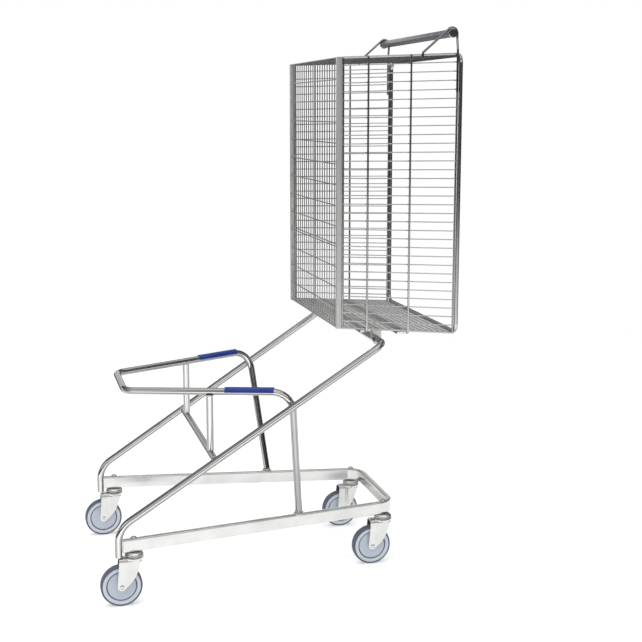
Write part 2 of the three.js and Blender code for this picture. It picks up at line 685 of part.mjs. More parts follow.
function fork() {
  const crown = turned([
    [STEM_RADIUS, CROWN_EDGE_Z], [CROWN_RADIUS, CROWN_EDGE_Z], [CROWN_RADIUS, CROWN_EDGE_Z + 5],
    [CROWN_RADIUS - 6, CROWN_TOP_Z], [STEM_RADIUS, CROWN_TOP_Z], [STEM_RADIUS, CROWN_EDGE_Z],
  ], 20, 'z', vec(0, 0, 0));
  // A bridge plate ties the crown to the front of both legs, ahead of the stem.
  const bridge = new THREE.BoxGeometry(2 * FORK_HALF, 50, 4);
  bridge.translate(0, -STEM_TRAIL + 20, CROWN_EDGE_Z + 1);
  const shell = joinAll([crown, bridge, forkLeg(-FORK_HALF), forkLeg(FORK_HALF - FORK_WALL)]);
  return subtractAll(shell, [bar(
    vec(0, 0, CROWN_EDGE_Z - 10),
    vec(0, 0, CROWN_TOP_Z + 10),
    STEM_RADIUS + RUN_GAP,
    24,
  )]);
}

const AXLE_REACH = FORK_HALF + GAP;
const axleProfile = [
  [0, -AXLE_REACH - AXLE_HEAD_HEIGHT], [AXLE_HEAD, -AXLE_REACH - AXLE_HEAD_HEIGHT],
  [AXLE_HEAD, -AXLE_REACH], [AXLE_RADIUS, -AXLE_REACH], [AXLE_RADIUS, AXLE_REACH],
  [AXLE_HEAD, AXLE_REACH], [AXLE_HEAD, AXLE_REACH + AXLE_HEAD_HEIGHT], [0, AXLE_REACH + AXLE_HEAD_HEIGHT],
];
const rimProfile = [
  [AXLE_RADIUS + RUN_GAP, -RIM_HALF], [FACE_EDGE - 6, -RIM_HALF], [RIM_EDGE, -RIM_HALF + 1],
  [RIM_EDGE, RIM_HALF - 1], [FACE_EDGE - 6, RIM_HALF], [AXLE_RADIUS + RUN_GAP, RIM_HALF],
  [AXLE_RADIUS + RUN_GAP, -RIM_HALF],
];
const tyreProfile = [
  [TYRE_INNER, -TYRE_HALF + 1], [FACE_EDGE, -TYRE_HALF], [WHEEL_RADIUS - 1.5, -TYRE_HALF + 3.5],
  [WHEEL_RADIUS, -5], [WHEEL_RADIUS, 5], [WHEEL_RADIUS - 1.5, TYRE_HALF - 3.5],
  [FACE_EDGE, TYRE_HALF], [TYRE_INNER, TYRE_HALF - 1], [TYRE_INNER, -TYRE_HALF + 1],
];
const nutProfile = [
  [0, 0], [NUT_RADIUS, 0], [NUT_RADIUS - 0.3, 2], [7, 4.4], [4, 5.9], [0, NUT_HEIGHT],
];

for (const { name, x, y } of casterPlaces()) {
  const caster = new THREE.Group();
  caster.position.set(x, y, 0);
  trolley.add(caster);
  const axle = vec(0, -STEM_TRAIL, WHEEL_RADIUS);
  add(`stem_${name}`, bar(vec(0, 0, STEM_LOW_Z), vec(0, 0, railTopZ + GAP), STEM_RADIUS, 12), zinc, caster);
  add(`dome_nut_${name}`, turned(nutProfile, 12, 'z', vec(0, 0, railTopZ + 2 * GAP)), chrome, caster);
  add(`race_${name}`, turned([
    [STEM_RADIUS + GAP, RACE_LOW_Z], [RACE_RADIUS - 4, RACE_LOW_Z], [RACE_RADIUS, RACE_LOW_Z + 3],
    [RACE_RADIUS - 2, RACE_TOP_Z], [STEM_RADIUS + GAP, RACE_TOP_Z], [STEM_RADIUS + GAP, RACE_LOW_Z],
  ], 16, 'z', vec(0, 0, 0)), zinc, caster);
  add(`fork_${name}`, fork(), zinc, caster);
  add(`axle_${name}`, turned(axleProfile, 10, 'x', axle), chrome, caster);
  add(`rim_${name}`, turned(rimProfile, 24, 'x', axle), rimBlue, caster);
  add(`tyre_${name}`, turned(tyreProfile, 32, 'x', axle), tyreGrey, caster);
}

export default trolley;
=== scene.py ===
"""Looks of the nestable cage trolley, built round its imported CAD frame."""
import json
import math

import bpy
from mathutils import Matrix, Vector


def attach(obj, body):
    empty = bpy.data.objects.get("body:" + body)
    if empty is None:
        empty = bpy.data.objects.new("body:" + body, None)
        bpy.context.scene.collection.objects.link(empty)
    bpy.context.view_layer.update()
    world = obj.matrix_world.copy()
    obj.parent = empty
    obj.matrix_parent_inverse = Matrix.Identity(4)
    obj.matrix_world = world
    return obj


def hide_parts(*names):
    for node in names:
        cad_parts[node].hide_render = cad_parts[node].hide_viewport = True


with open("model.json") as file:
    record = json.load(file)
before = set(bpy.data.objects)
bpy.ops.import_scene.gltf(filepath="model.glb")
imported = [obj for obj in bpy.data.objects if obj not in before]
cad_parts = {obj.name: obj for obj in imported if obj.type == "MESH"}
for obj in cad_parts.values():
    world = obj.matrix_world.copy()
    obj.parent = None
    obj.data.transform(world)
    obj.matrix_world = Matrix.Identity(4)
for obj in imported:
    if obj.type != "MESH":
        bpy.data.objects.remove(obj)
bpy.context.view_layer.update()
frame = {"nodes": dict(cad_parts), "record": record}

# ---- dimensions, in millimetres ------------------------------------------------------
# Lengthwise positions are measured from the front axle line; MIDDLE_Y moves them to the
# row frame, whose origin is the centre of the footprint.
MIDDLE_Y = 494.25
MM = 1000                        # in a metre, Blender's unit
NEARLY_UPRIGHT = 0.9             # the upward part of a unit vector
CREASE = 35                      # degrees; sharper edges are shaded as edges
GAP = 0.3
WHEEL_RADIUS = 62.5
STEM_TRAIL = 40
CASTERS = {
    "front_left": (-312, 40),
    "front_right": (312, 40),
    "rear_left": (-184, 860),
    "rear_right": (184, 860),
}
SIDES = {"left": -1, "right": 1}

RAIL_MIDDLE_Z = 185
RAIL_HEIGHT = 40
RAIL_WIDTH = 20
RAIL_ROUND = 4
RAIL_TOP_Z = RAIL_MIDDLE_Z + RAIL_HEIGHT / 2
RAIL_TAPER = 126 / 820
RAIL_FRONT_X = 312
RAIL_REAR_Y = 891
RAIL_BEND = 55
RAIL_FRONT_GAP = 1.2

TUBE = 11
UPRIGHT_Y = -6
UPRIGHT_FOOT_Z = 152
KNEE_Z = 238
KNEE_BEND = 80
TOP_BAR = (343, 806, 759.5)
TOP_BEND = 30
CROSSBAR_Y = 288
POST_X = 235
POST_SEAT = 0.8                  # of the tube's radius, where a loop post ends inside it
LOOP_FRONT = (127.5, 43, 612)
LOOP_REAR = (321.5, 524.5, 622)
LOOP_FRONT_BEND = 45
LOOP_REAR_BEND = 62
LOOP_FOOT_Y = 566
LOOP_FOOT_HEIGHT = 9
LEG_LIFT = 3.4
PAD_START_Y = 334
PAD_END_Y = 474

CAGE_FRONT = {"x": 295.5, "y": 670.5, "bottom": 804, "top": 1610}
CAGE_REAR = {"x": 325, "y": 1045, "bottom": 781, "top": 1619}
REAR_ROD = 6
REAR_ROD_BEND = 25
POST_SIDE = 16
POST_WALL = 1.5
POST_ROUND = 2
POST_BORE_ROUND = 0.8
RIM_ROD = 3
ROD_SIDES = 16
WIRE = 1.7
FRONT_UPRIGHTS = 19
FRONT_LEVELS = 12
DOUBLED_LEVEL = 4
DOUBLED_OFFSET = 8
SIDE_LEVELS = 31
WIRE_SINK = 0.4                  # how deep a side wire sits in the edge rods
HOOP_SHARES = {"front": 0.247, "rear": 0.5915}
HOOP_BEND = 5

GRIP_Y = 1017
GRIP_Z = 1681.5
GRIP_RADIUS = 12
GRIP_HALF = 324.6
CAP_RADIUS = 14.4
CAP_LENGTH = 5
BRACKET_ROD = 3.5
BRACKET_LOOP = 16
BRACKET_X = 321
BRACKET_FOOT = (319.8, 926, 1612)
BRACKET_LEG_X = 327.9
BRACKET_LEG_Z = 1510
BRACKET_JOG = (1666, 1634)
BRACKET_KNEE = 6
JOG_BEND = 20


def lerp(a, b, share):
    return a + (b - a) * share


# ---- mesh building -------------------------------------------------------------------
class Solid:
    """Collects closed shells, in millimetres, that become one object."""

    def __init__(self):
        self.points = []
        self.faces = []

    def shell(self, points, faces):
        start = len(self.points)
        self.points += [Vector(p) for p in points]
        self.faces += [[i + start for i in face] for face in faces]

    def rings(self, rings, closed=False):
        """A skin over rings of equal length; it joins end to start, or flat caps close its ends."""
        count = len(rings)
        sides = len(rings[0])
        faces = []
        for i in range(count if closed else count - 1):
            a, b = i * sides, ((i + 1) % count) * sides
            for j in range(sides):
                k = (j + 1) % sides
                faces.append([a + j, a + k, b + k, b + j])
        if not closed:
            faces.append(list(reversed(range(sides))))
            faces.append([(count - 1) * sides + j for j in range(sides)])
        self.shell([p for ring in rings for p in ring], faces)

    def make(self, name, material, body="frame", slot="zinc", replaces=()):
        mesh = bpy.data.meshes.new(name)
        scaled = [(p[0] / MM, (p[1] - MIDDLE_Y) / MM, p[2] / MM) for p in self.points]
        mesh.from_pydata(scaled, [], self.faces)
        mesh.validate()
        mesh.update()
        for polygon in mesh.polygons:
            polygon.use_smooth = True
        mesh.set_sharp_from_angle(angle=math.radians(CREASE))
        piece = bpy.data.objects.new(name, mesh)
        bpy.context.scene.collection.objects.link(piece)
        mesh.materials.append(material)
        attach(piece, body)
        if replaces:
            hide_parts(*replaces)
        return piece


def bent_path(corners, bends, steps=14, closed=False):
    """Points and tangents of straight runs joined by round bends."""
    corners = [Vector(c) for c in corners]
    count = len(corners)
    points, tangents = [], []
    for i, corner in enumerate(corners):
        if not closed and i in (0, count - 1):
            run = corners[1] - corners[0] if i == 0 else corners[-1] - corners[-2]
            points.append(corner)
            tangents.append(run.normalized())
            continue
        before = (corner - corners[i - 1]).normalized()
        after = (corners[(i + 1) % count] - corner).normalized()
        turn = before.angle(after)
        inward = (after - before).normalized()
        centre = corner + inward * (bends[i] / math.cos(turn / 2))
        arm = corner - before * (bends[i] * math.tan(turn / 2)) - centre
        for step in range(steps + 1):
            angle = turn * step / steps
            points.append(centre + arm * math.cos(angle) + before * (bends[i] * math.sin(angle)))
            tangent = before * math.cos(angle) - arm * (math.sin(angle) / bends[i])
            tangents.append(tangent.normalized())
    return points, tangents


def off_axis(direction):
    """A direction that is never close to the one given: upward, or lengthwise if that is upright."""
    return Vector((0, 0, 1)) if abs(direction.z) < NEARLY_UPRIGHT else Vector((0, 1, 0))


def frames_along(points, tangents, start_normal=None):
    """A pair of section axes at each point, carried along the path without twist."""
    first = tangents[0]
    if start_normal is None:
        guess = off_axis(first)
        start_normal = guess - first * guess.dot(first)
    normal = (start_normal - first * start_normal.dot(first)).normalized()
    frames = []
    for i, tangent in enumerate(tangents):
        if i:
            turn = tangents[i - 1].rotation_difference(tangent)
            normal = turn @ normal
        frames.append((normal.copy(), tangent.cross(normal)))
    return frames


def circle_section(radius, sides):
    return [
        (radius * math.cos(2 * math.pi * i / sides), radius * math.sin(2 * math.pi * i / sides))
        for i in range(sides)
    ]


def rounded_section(width, height, radius, steps=5):
    section = []
    for quarter, (sx, sy) in enumerate([(1, 1), (-1, 1), (-1, -1), (1, -1)]):
        for step in range(steps + 1):
            angle = (quarter + step / steps) * math.pi / 2
            section.append((
                sx * (width / 2 - radius) + radius * math.cos(angle),
                sy * (height / 2 - radius) + radius * math.sin(angle),
            ))
    return section


def sweep(solid, path, section, closed=False, start_normal=None):
    points, tangents = path
    axes = frames_along(points, tangents, start_normal)
    rings = [
        [point + normal * u + side * v for u, v in section]
        for point, (normal, side) in zip(points, axes)
    ]
    solid.rings(rings, closed)


def tube(solid, corners, bends=None, radius=TUBE, sides=32, steps=14, closed=False):
    path = bent_path(corners, bends or [0] * len(corners), steps, closed)
    sweep(solid, path, circle_section(radius, sides), closed)


def wire(solid, start, end, radius=WIRE, sides=10):
    tube(solid, [start, end], None, radius, sides)


def lathe(solid, profile, centre, axis="z", sides=48, closed=False):
    """Turns (radius, height) pairs round an axis.

    A closed profile goes once round a ring's section, without repeating its first point.
    An open one starts and ends on the axis.
    """
    rings = []
    for radius, height in profile:
        ring = []
        for i in range(sides):
            angle = 2 * math.pi * i / sides
            a, b = radius * math.cos(angle), radius * math.sin(angle)
            offset = Vector((a, b, height)) if axis == "z" else Vector((height, a, b))
            ring.append(Vector(centre) + offset)
        rings.append(ring)
    solid.rings(rings, closed)


def ring_lathe(solid, profile, centre, axis="z", sides=48):
    lathe(solid, profile, centre, axis, sides, closed=True)


# ---- materials -----------------------------------------------------------------------
CLOUD_LOW, CLOUD_HIGH = 0.3, 0.7  # the range that most of a noise texture's values fall in
BUMP_DEPTH = 0.0005               # metres


def new_material(name):
    material = bpy.data.materials.new(name)
    material.use_nodes = True
    return material, material.node_tree.nodes, material.node_tree.links


def noise(nodes, links, scale, detail=4):
    """A noise texture in object space."""
    coordinates = nodes.new("ShaderNodeTexCoord")
    texture = nodes.new("ShaderNodeTexNoise")
    texture.inputs["Scale"].default_value = scale
    texture.inputs["Detail"].default_value = detail
    links.new(coordinates.outputs["Object"], texture.inputs["Vector"])
    return texture.outputs["Fac"]


def ramp(nodes, links, source, stops):
    node = nodes.new("ShaderNodeValToRGB")
    elements = node.color_ramp.elements
    while len(elements) < len(stops):
        elements.new(0.5)
    for element, (position, color) in zip(elements, stops):
        element.position = position
        element.color = (*color, 1)
    links.new(source, node.inputs["Fac"])
    return node.outputs["Color"]


def spread(nodes, links, source, low, high):
    node = nodes.new("ShaderNodeMapRange")
    node.inputs["From Min"].default_value = CLOUD_LOW
    node.inputs["From Max"].default_value = CLOUD_HIGH
    node.inputs["To Min"].default_value = low
    node.inputs["To Max"].default_value = high
    links.new(source, node.inputs["Value"])
    return node.outputs["Result"]


def surface(name, dark, light, rough, metallic=0.0, scale=40, fine=900, bump=0.02, rim=None):
    """A finish whose colour wanders between dark and light and whose gloss varies with it.

    `rim` is a list of stops of painted reflection: they darken the colour where the surface turns away from
    sight, painting in the dark studio reflections that a mirror-bright round tube shows.
    """
    material, nodes, links = new_material(name)
    shader = nodes["Principled BSDF"]
    shader.inputs["Metallic"].default_value = metallic
    clouds = noise(nodes, links, scale)
    grain = noise(nodes, links, fine, 2)
    color = ramp(nodes, links, clouds, [(CLOUD_LOW, dark), (CLOUD_HIGH, light)])
    if rim:
        # Painted reflection: the colour is multiplied by grey levels taken from how far the surface turns
        # from sight.
        turning = nodes.new("ShaderNodeLayerWeight")
        greys = [(place, (level,) * 3) for place, level in rim]
        shade = ramp(nodes, links, turning.outputs["Facing"], greys)
        product = nodes.new("ShaderNodeMix")
        product.data_type = "RGBA"
        product.blend_type = "MULTIPLY"
        product.inputs["Factor"].default_value = 1
        links.new(color, product.inputs["A"])
        links.new(shade, product.inputs["B"])
        color = product.outputs["Result"]
    links.new(color, shader.inputs["Base Color"])
    links.new(spread(nodes, links, grain, *rough), shader.inputs["Roughness"])
    if bump:
        node = nodes.new("ShaderNodeBump")
        node.inputs["Strength"].default_value = bump
        node.inputs["Distance"].default_value = BUMP_DEPTH
        links.new(grain, node.inputs["Height"])
        links.new(node.outputs["Normal"], shader.inputs["Normal"])
    return material


# Stops of painted reflection, as (how far the surface turns away, how much of its colour is left): dark
# bands painted into the colour in place of reflected studio shade.
TUBE_PAINTED_REFLECTION = [(0.0, 1.0), (0.06, 0.93), (0.16, 0.50), (0.30, 0.32), (0.48, 0.62), (0.75, 0.25), (1.0, 0.35)]
WIRE_PAINTED_REFLECTION = [(0.0, 1.0), (0.20, 0.85), (0.50, 0.42), (0.80, 0.30), (1.0, 0.4)]


def plating(name, dark, light, rough, scale, fine, bump, rim=None):
    """A neutral metal finish between two grey levels, a little less blue than red."""
    return surface(name, dark, light, rough, 1, scale, fine, bump, rim)


def plastic(name, dark, light, rough, scale, fine, bump):
    return surface(name, dark, light, rough, 0, scale, fine, bump)


# CHROME, BRIGHT, WIRES and the bracket rod finish carry these painted reflection stripes in their colour.
CHROME = plating(
    "chrome_tube", (0.78, 0.78, 0.77), (0.86, 0.86, 0.85), (0.05, 0.11), 6, 220, 0.006, TUBE_PAINTED_REFLECTION,
)
BRIGHT = plating(
    "bright_plate", (0.76, 0.76, 0.75), (0.84, 0.84, 0.83), (0.07, 0.13), 10, 400, 0.008, WIRE_PAINTED_REFLECTION,
)
# Painted shade: the bracket rods are the same plating as the tubes, in a darker copy that paints in the
# dark reflections they show.
ROD_PAINTED_DARK = plating(
    "plated_rod_painted_dark", (0.42, 0.42, 0.42), (0.50, 0.50, 0.50), (0.07, 0.13), 10, 300, 0.006, TUBE_PAINTED_REFLECTION,
)
ZINC = plating(
    "zinc_plate", (0.64, 0.64, 0.625), (0.76, 0.76, 0.745), (0.16, 0.28), 12, 500, 0.015,
)
WIRES = plating(
    "plated_wire", (0.58, 0.58, 0.575), (0.68, 0.68, 0.67), (0.12, 0.20), 9, 300, 0.008, WIRE_PAINTED_REFLECTION,
)
POST = plating(
    "plated_post", (0.70, 0.70, 0.69), (0.78, 0.78, 0.77), (0.36, 0.44), 6, 200, 0.004,
)
WELD = plating(
    "weld_bead", (0.70, 0.70, 0.68), (0.90, 0.90, 0.88), (0.22, 0.42), 300, 900, 0.4,
)
BLUE = plastic(
    "blue_plastic", (0.006, 0.026, 0.19), (0.012, 0.042, 0.27), (0.30, 0.42), 25, 1500, 0.08,
)
GRIP = plastic(
    "grey_plastic", (0.13, 0.135, 0.15), (0.17, 0.175, 0.19), (0.24, 0.34), 25, 1800, 0.06,
)
TYRE = plastic(
    "slate_rubber", (0.085, 0.095, 0.128), (0.115, 0.128, 0.168), (0.62, 0.78), 60, 1200, 0.25,
)
RIM = plastic(
    "pale_plastic", (0.51, 0.565, 0.64), (0.56, 0.61, 0.68), (0.34, 0.48), 20, 1200, 0.05,
)
DISC = plastic(
    "grey_blue_plastic", (0.44, 0.49, 0.565), (0.49, 0.54, 0.61), (0.34, 0.48), 20, 1200, 0.05,
)

# ---- base ----------------------------------------------------------------------------
UP = Vector((0, 0, 1))


def rail_x(y):
    return RAIL_FRONT_X - RAIL_TAPER * (y - STEM_TRAIL)


rail_front_y = UPRIGHT_Y + TUBE + RAIL_FRONT_GAP
base = Solid()
base_corners = [
    (-rail_x(rail_front_y), rail_front_y, RAIL_MIDDLE_Z),
    (-rail_x(RAIL_REAR_Y), RAIL_REAR_Y, RAIL_MIDDLE_Z),
    (rail_x(RAIL_REAR_Y), RAIL_REAR_Y, RAIL_MIDDLE_Z),
    (rail_x(rail_front_y), rail_front_y, RAIL_MIDDLE_Z),
]
sweep(
    base,
    bent_path(base_corners, [0, RAIL_BEND, RAIL_BEND, 0]),
    rounded_section(RAIL_HEIGHT, RAIL_WIDTH, RAIL_ROUND),
    start_normal=UP,
)
base.make("base_frame_tube", ZINC, replaces=["base_frame"])

# ---- main tubes, crossbar, loop ------------------------------------------------------
upright_x = rail_x(UPRIGHT_Y)


def diagonal(y):
    share = (y - UPRIGHT_Y) / (TOP_BAR[1] - UPRIGHT_Y)
    return lerp(upright_x, TOP_BAR[0], share), lerp(KNEE_Z, TOP_BAR[2], share)


def loop_point(sign, y):
    share = (y - LOOP_FRONT[1]) / (LOOP_REAR[1] - LOOP_FRONT[1])
    return Vector((
        sign * lerp(LOOP_FRONT[0], LOOP_REAR[0], share),
        y,
        lerp(LOOP_FRONT[2], LOOP_REAR[2], share),
    ))


for side, sign in SIDES.items():
    main = Solid()
    tube(main, [
        (sign * upright_x, UPRIGHT_Y, UPRIGHT_FOOT_Z),
        (sign * upright_x, UPRIGHT_Y, KNEE_Z),
        (sign * TOP_BAR[0], TOP_BAR[1], TOP_BAR[2]),
        (sign * GAP / 2, TOP_BAR[1], TOP_BAR[2]),
    ], [0, KNEE_BEND, TOP_BEND, 0], steps=20)
    main.make(f"main_tube_{side}_bent", CHROME, slot="tube", replaces=[f"main_tube_{side}"])

crossbar_x, crossbar_z = diagonal(CROSSBAR_Y)
crossbar_half = crossbar_x - TUBE - GAP
crossbar = Solid()
tube(crossbar, [(-crossbar_half, CROSSBAR_Y, crossbar_z), (crossbar_half, CROSSBAR_Y, crossbar_z)])
crossbar.make("lower_crossbar_tube", CHROME, slot="tube", replaces=["lower_crossbar"])

foot_top_z = RAIL_TOP_Z + GAP + LOOP_FOOT_HEIGHT


def loop_foot(sign, lift=LEG_LIFT):
    return Vector((sign * rail_x(LOOP_FOOT_Y), LOOP_FOOT_Y, foot_top_z + lift))


loop = Solid()
tube(loop, [
    loop_foot(-1),
    loop_point(-1, LOOP_REAR[1]),
    loop_point(-1, LOOP_FRONT[1]),
    loop_point(1, LOOP_FRONT[1]),
    loop_point(1, LOOP_REAR[1]),
    loop_foot(1),
], [0, LOOP_REAR_BEND, LOOP_FRONT_BEND, LOOP_FRONT_BEND, LOOP_REAR_BEND, 0], steps=20)
loop.make("carrier_loop_tube", CHROME, slot="tube", replaces=["carrier_loop"])

FOOT_PROFILE = [
    (0, 0), (16.6, 0), (17, 0.5), (17, 2.4), (16.4, 3.6), (13.6, 7.4), (12.6, 8.8), (12, 9), (0, 9),
]
PAD_WALL = 3
PAD_WRAP = math.pi * 0.52
PAD_LIP = 1.2


def pad(sign):
    start, end = loop_point(sign, PAD_START_Y), loop_point(sign, PAD_END_Y)
    along = (end - start).normalized()
    across = UP.cross(along).normalized()
    upward = along.cross(across)
    length = (end - start).length
    steps = 28
    rings = []
    stations = [0, 0.4, 1.2, 2.4, length - 2.4, length - 1.2, length - 0.4, length]
    thinning = [0.55, 0.8, 0.95, 1, 1, 0.95, 0.8, 0.55]
    inner = TUBE + GAP
    for station, share in zip(stations, thinning):
        outer = inner + PAD_WALL * share
        ring = []
        for i in range(steps + 1):
            angle = lerp(-PAD_WRAP, PAD_WRAP, i / steps)
            edge = min(i, steps - i) / steps * (outer * 2 * PAD_WRAP)
            radius = outer - PAD_LIP * max(0, 1 - edge / 2) ** 2
            ring.append((radius, angle))
        for i in range(steps + 1):
            ring.append((inner, lerp(PAD_WRAP, -PAD_WRAP, i / steps)))
        middle = start + along * station
        rings.append([
            middle + across * (radius * math.sin(angle)) + upward * (radius * math.cos(angle))
            for radius, angle in ring
        ])
    solid = Solid()
    solid.rings(rings)
    return solid


for side, sign in SIDES.items():
    foot = Solid()
    place = loop_foot(sign)
    lathe(foot, FOOT_PROFILE, (place.x, place.y, RAIL_TOP_Z + GAP))
    foot.make(f"loop_foot_{side}_collar", ZINC, slot="tube", replaces=[f"loop_foot_{side}"])
    post = Solid()
    seat = loop_point(sign, CROSSBAR_Y)
    tube(post, [
        (sign * POST_X, CROSSBAR_Y, crossbar_z + TUBE * POST_SEAT),
        (sign * POST_X, CROSSBAR_Y, seat.z - TUBE * POST_SEAT),
    ])
    post.make(f"loop_post_{side}_tube", CHROME, slot="tube", replaces=[f"loop_post_{side}"])
    pad(sign).make(f"loop_pad_{side}_shell", BLUE, slot="pad", replaces=[f"loop_pad_{side}"])

# ---- cage ----------------------------------------------------------------------------
PANEL_DEPTH = 6
rear_bottom_z = CAGE_REAR["bottom"] - REAR_ROD
rear_top_z = CAGE_REAR["top"] + REAR_ROD
side_front_y = CAGE_FRONT["y"] + POST_SIDE + GAP
deck_front_y = CAGE_FRONT["y"] + PANEL_DEPTH + GAP
panel_rear_y = CAGE_REAR["y"] - REAR_ROD - GAP
front_panel_y = CAGE_FRONT["y"] + PANEL_DEPTH / 2


def cage_share(y):
    return (y - CAGE_FRONT["y"]) / (CAGE_REAR["y"] - CAGE_FRONT["y"])


def side_x(y):
    return lerp(CAGE_FRONT["x"], CAGE_REAR["x"], cage_share(y)) - PANEL_DEPTH / 2


def bottom_z(y):
    return lerp(CAGE_FRONT["bottom"], rear_bottom_z, cage_share(y))


def top_z(y):
    return lerp(CAGE_FRONT["top"], rear_top_z, cage_share(y))


def hollow_post(solid, x, y, low, high):
    outer = rounded_section(POST_SIDE, POST_SIDE, POST_ROUND)
    bore = POST_SIDE - 2 * POST_WALL
    inner = rounded_section(bore, bore, POST_BORE_ROUND)
    rings = [
        [(x + u, y + v, height) for u, v in section]
        for section, height in ((outer, low), (outer, high), (inner, high), (inner, low))
    ]
    solid.rings(rings, closed=True)


for side, sign in SIDES.items():
    post = Solid()
    hollow_post(
        post,
        sign * (CAGE_FRONT["x"] - POST_SIDE / 2),
        CAGE_FRONT["y"] + POST_SIDE / 2,
        CAGE_FRONT["bottom"],
        CAGE_FRONT["top"],
    )
    post.make(f"cage_post_{side}_tube", POST, slot="wire", replaces=[f"cage_post_{side}"])

front = Solid()
front_half = CAGE_FRONT["x"] - POST_SIDE
front_low = CAGE_FRONT["bottom"] + RIM_ROD
front_high = CAGE_FRONT["top"] - RIM_ROD
for z in (front_low, front_high):
    wire(front, (-front_half, front_panel_y, z), (front_half, front_panel_y, z), RIM_ROD, ROD_SIDES)
for i in range(1, FRONT_UPRIGHTS + 1):
    x = lerp(-front_half, front_half, i / (FRONT_UPRIGHTS + 1))
    wire(front, (x, front_panel_y + WIRE, front_low), (x, front_panel_y + WIRE, front_high))
for i in range(1, FRONT_LEVELS + 1):
    z = lerp(front_low, front_high, i / (FRONT_LEVELS + 1))
    levels = [z, z + DOUBLED_OFFSET] if i == DOUBLED_LEVEL else [z]
    level_y = front_panel_y - WIRE
    for level in levels:
        wire(front, (-front_half, level_y, level), (front_half, level_y, level))
front.make("cage_front_mesh", WIRES, slot="wire", replaces=["cage_front"])

for side, sign in SIDES.items():
    panel = Solid()

    def at(y, z, inset=0.0):
        return Vector((sign * (side_x(y) - inset), y, z))

    front_y, rear_y = side_front_y + RIM_ROD, panel_rear_y - RIM_ROD
    for edge_z, shift in ((bottom_z, RIM_ROD), (top_z, -RIM_ROD)):
        ends = [at(y, edge_z(y) + shift) for y in (side_front_y, panel_rear_y)]
        wire(panel, *ends, RIM_ROD, ROD_SIDES)
    for y in (front_y, rear_y):
        wire(panel, at(y, bottom_z(y) + RIM_ROD), at(y, top_z(y) - RIM_ROD), RIM_ROD, ROD_SIDES)
    for i in range(1, SIDE_LEVELS + 1):
        share = i / (SIDE_LEVELS + 1)
        wire(panel, *(
            at(y, lerp(bottom_z(y), top_z(y), share), WIRE_SINK - WIRE)
            for y in (side_front_y, panel_rear_y)
        ))
    panel.make(f"cage_side_{side}_mesh", WIRES, slot="wire", replaces=[f"cage_side_{side}"])

DECK_LENGTHWISE = 27
DECK_CROSSWISE = 18


def deck(name, edge_z, shift, node):
    solid = Solid()

    def at(share_across, y, lift=0.0):
        half = side_x(y) - PANEL_DEPTH / 2
        return Vector((lerp(-half, half, share_across), y, edge_z(y) + shift + lift))

    wire(solid, at(0, panel_rear_y - RIM_ROD), at(1, panel_rear_y - RIM_ROD), RIM_ROD, ROD_SIDES)
    for i in range(DECK_LENGTHWISE + 1):
        share = i / DECK_LENGTHWISE
        start_y = side_front_y if i in (0, DECK_LENGTHWISE) else deck_front_y
        wire(solid, at(share, start_y, WIRE), at(share, panel_rear_y, WIRE))
    for i in range(DECK_CROSSWISE):
        y = lerp(side_front_y + WIRE, panel_rear_y, i / DECK_CROSSWISE)
        wire(solid, at(0, y, -WIRE), at(1, y, -WIRE))
    solid.make(name, WIRES, slot="wire", replaces=[node])


deck("cage_roof_mesh", top_z, -RIM_ROD, "cage_roof")
deck("cage_floor_mesh", bottom_z, RIM_ROD, "cage_floor")

rear = Solid()
rear_corners = [
    (sign * CAGE_REAR["x"], CAGE_REAR["y"], CAGE_REAR[height])
    for sign, height in ((-1, "top"), (-1, "bottom"), (1, "bottom"), (1, "top"))
]
tube(rear, rear_corners, [REAR_ROD_BEND] * 4, REAR_ROD, 24, 12, closed=True)
rear.make("cage_rear_frame_rod", WIRES, slot="wire", replaces=["cage_rear_frame"])

for end, share in HOOP_SHARES.items():
    y = lerp(CAGE_FRONT["y"], CAGE_REAR["y"], share)
    x = side_x(y) + PANEL_DEPTH / 2 + RIM_ROD + 2 * GAP
    low = bottom_z(y) - RIM_ROD - 2 * GAP
    high = top_z(y) - PANEL_DEPTH / 2
    hoop = Solid()
    corners = [(-x, y, high), (-x, y, low), (x, y, low), (x, y, high)]
    tube(hoop, corners, [0, HOOP_BEND, HOOP_BEND, 0], RIM_ROD, ROD_SIDES, 8)
    hoop.make(f"cage_hoop_{end}_rod", WIRES, slot="wire", replaces=[f"cage_hoop_{end}"])

# The floor supports and saddles keep their CAD shape with softened edges.
KEPT_EDGE_ROUND = 0.0008         # metres
for node in ("floor_support_front", "floor_support_rear", "cage_saddle_left", "cage_saddle_right"):
    piece = frame["nodes"][node]
    modifier = piece.modifiers.new("bevel", "BEVEL")
    modifier.width = KEPT_EDGE_ROUND
    modifier.segments = 2
    modifier.limit_method = "ANGLE"

# ---- handle --------------------------------------------------------------------------
END_ROUND = 2.5


def rounded_drum(radius, half, round_by=END_ROUND, steps=5):
    """Profile of a drum about its axis with rounded rims, from one end to the other."""
    profile = [(0, -half)]
    flat, shoulder = radius - round_by, half - round_by
    for step in range(steps + 1):
        angle = math.pi / 2 * step / steps
        profile.append((flat + round_by * math.sin(angle), -shoulder - round_by * math.cos(angle)))
    for step in range(steps + 1):
        angle = math.pi / 2 * step / steps
        profile.append((flat + round_by * math.cos(angle), shoulder + round_by * math.sin(angle)))
    return profile + [(0, half)]


grip_centre = (0, GRIP_Y, GRIP_Z)
sleeve = Solid()
lathe(sleeve, rounded_drum(GRIP_RADIUS, GRIP_HALF, 0.8, 3), grip_centre, "x")
sleeve.make("grip_sleeve_tube", GRIP, slot="grip", replaces=["grip_sleeve", "grip_core"])

for side, sign in SIDES.items():
    cap = Solid()
    middle = sign * (GRIP_HALF + GAP + CAP_LENGTH / 2)
    lathe(cap, rounded_drum(CAP_RADIUS, CAP_LENGTH / 2, 1.8), (middle, GRIP_Y, GRIP_Z), "x")
    cap.make(f"grip_cap_{side}_disc", CHROME, slot="cap", replaces=[f"grip_cap_{side}"])


